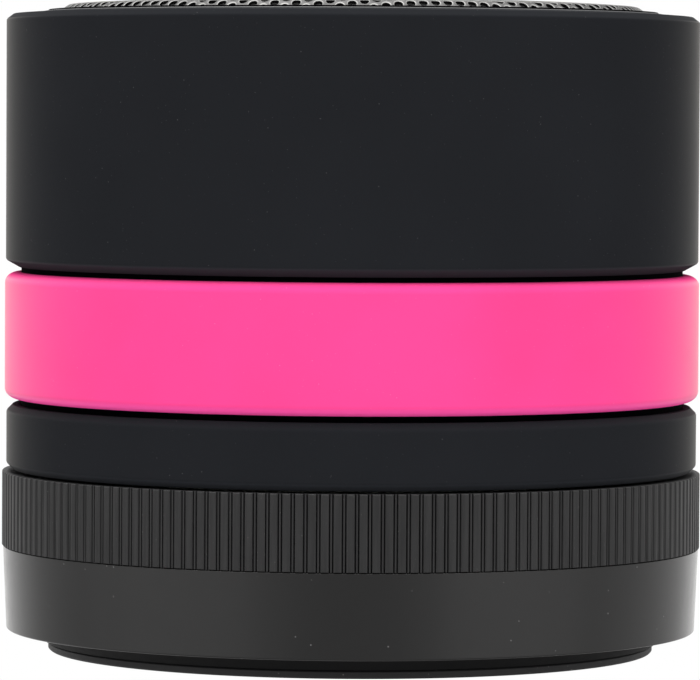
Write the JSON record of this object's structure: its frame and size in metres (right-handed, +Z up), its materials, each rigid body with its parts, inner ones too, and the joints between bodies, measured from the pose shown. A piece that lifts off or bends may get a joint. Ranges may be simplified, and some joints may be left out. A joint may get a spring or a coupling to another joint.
{
  "type": "shower speaker",
  "caption": "Round puck speaker with a perforated grille on top, a pink middle band, and a knurled twist-lock ring that draws its suction-cup foot onto a wall.",
  "frame": {"origin": "centre of the sealing face of the suction cup", "axes": "+Z up through the grille; +Y towards the controls and the charging port at the back; -Y is the plain front"},
  "size_m": [0.06, 0.06, 0.0558],
  "materials": {
    "case_black": "soft-touch lacquer over ABS, satin, fine dust",
    "accent_pink": "soft-touch lacquer, saturated pink",
    "button_pink": "moulded, satin",
    "skirt_black": "high-gloss injection moulding",
    "knurl_black": "satin moulded knurl",
    "black_plastic": "moulded, plain",
    "grille_silver": "perforated and satin anodised",
    "ring_grey": "satin grey",
    "grille_cloth": "fine woven dust cloth",
    "cup_rubber": "soft moulded, lightly textured",
    "seal_rubber": "moulded seal",
    "white_plastic": "low-friction moulding",
    "steel": "plain zinc plate",
    "magnet_dark": "sintered ferrite",
    "copper": "enamelled copper winding",
    "former_amber": "polyimide film",
    "cone_paper": "pressed pulp",
    "spider_cloth": "resin-treated corrugated cloth",
    "foam": "closed-cell foam",
    "board_green": "solder-masked laminate",
    "chip_black": "moulded packages",
    "battery_foil": "laminated pouch foil",
    "wire_red": "insulated wire",
    "wire_black": "insulated wire",
    "flex_amber": "polyimide flexible circuit",
    "lens_clear": "clear light pipe",
    "terminal_brown": "phenolic board with tinned lugs"
  },
  "bodies": {
    "speaker_body": {"upper_shell": "case_black", "grille": "grille_silver", "grille_cloth": "grille_cloth", "grille_ring": "ring_grey", "accent_band": "accent_pink", "lower_shell": "case_black", "inner_frame": "black_plastic", "upper_seal": "seal_rubber", "lower_seal": "seal_rubber", "hub_seal": "seal_rubber", "slip_ring": "white_plastic", "base_skirt": "skirt_black", "pressure_plate": "black_plastic", "base_screws": "steel", "spindle": "white_plastic", "hub_screws": "steel", "suction_cup": "cup_rubber", "stud_spring": "steel", "driver_basket": "ring_grey", "driver_gasket": "foam", "driver_screws": "steel", "top_plate": "steel", "magnet": "magnet_dark", "yoke": "steel", "surround": "seal_rubber", "spider": "spider_cloth", "driver_terminals": "terminal_brown", "main_board": "board_green", "board_screws": "steel", "radio_module": "ring_grey", "board_chips": "chip_black", "capacitors": "chip_black", "battery": "battery_foil", "battery_pad": "foam", "wire_sockets": "white_plastic", "battery_wires": "wire_red", "speaker_wires": "wire_black", "charge_socket": "steel", "port_pin": "steel", "button_board": "flex_amber", "tact_switches": "steel", "ribbon_cable": "flex_amber", "light_pipe": "lens_clear", "status_led": "white_plastic", "microphone": "steel", "case_screws": "steel"},
    "locking_collar": {"lock_ring": "knurl_black", "lift_cam": "white_plastic", "cam_screws": "steel"},
    "cup_stud": {"lift_stud": "steel", "cross_pin": "steel"},
    "diaphragm": {"cone": "cone_paper", "dust_cap": "cone_paper", "coil_former": "former_amber", "voice_coil": "copper"},
    "power_key": {"power_button": "button_pink"},
    "volume_down_key": {"volume_down_button": "button_pink"},
    "play_key": {"play_button": "button_pink"},
    "volume_up_key": {"volume_up_button": "button_pink"},
    "port_door": {"port_cover": "seal_rubber"}
  },
  "joints": [
    {"name": "lock_ring_turn", "type": "hinge", "parent": "speaker_body", "child": "locking_collar", "pos_m": [0, 0, 0.012], "axis": [0, 0, 1], "range_deg": [0, 90]},
    {"name": "stud_lift", "type": "slide", "parent": "speaker_body", "child": "cup_stud", "axis": [0, 0, 1], "range_m": [0, 0.0025], "deforming": ["suction_cup", "stud_spring"]},
    {"name": "cone_travel", "type": "slide", "parent": "speaker_body", "child": "diaphragm", "axis": [0, 0, 1], "range_m": [-0.001, 0.001], "deforming": ["surround", "spider"]},
    {"name": "power_press", "type": "slide", "parent": "speaker_body", "child": "power_key", "axis": [-0.4067, -0.9135, 0], "range_m": [0, 0.00045]},
    {"name": "volume_down_press", "type": "slide", "parent": "speaker_body", "child": "volume_down_key", "axis": [-0.1392, -0.9903, 0], "range_m": [0, 0.00045]},
    {"name": "play_press", "type": "slide", "parent": "speaker_body", "child": "play_key", "axis": [0.1392, -0.9903, 0], "range_m": [0, 0.00045]},
    {"name": "volume_up_press", "type": "slide", "parent": "speaker_body", "child": "volume_up_key", "axis": [0.4067, -0.9135, 0], "range_m": [0, 0.00045]},
    {"name": "port_cover_open", "type": "hinge", "parent": "speaker_body", "child": "port_door", "pos_m": [-0.0054, 0.0287, 0.0184], "axis": [0, 0, 1], "range_deg": [0, 100]}
  ],
  "couplings": [
    {"joint": "stud_lift", "follows": "lock_ring_turn", "m_per_rad": 0.0015915}
  ]
}
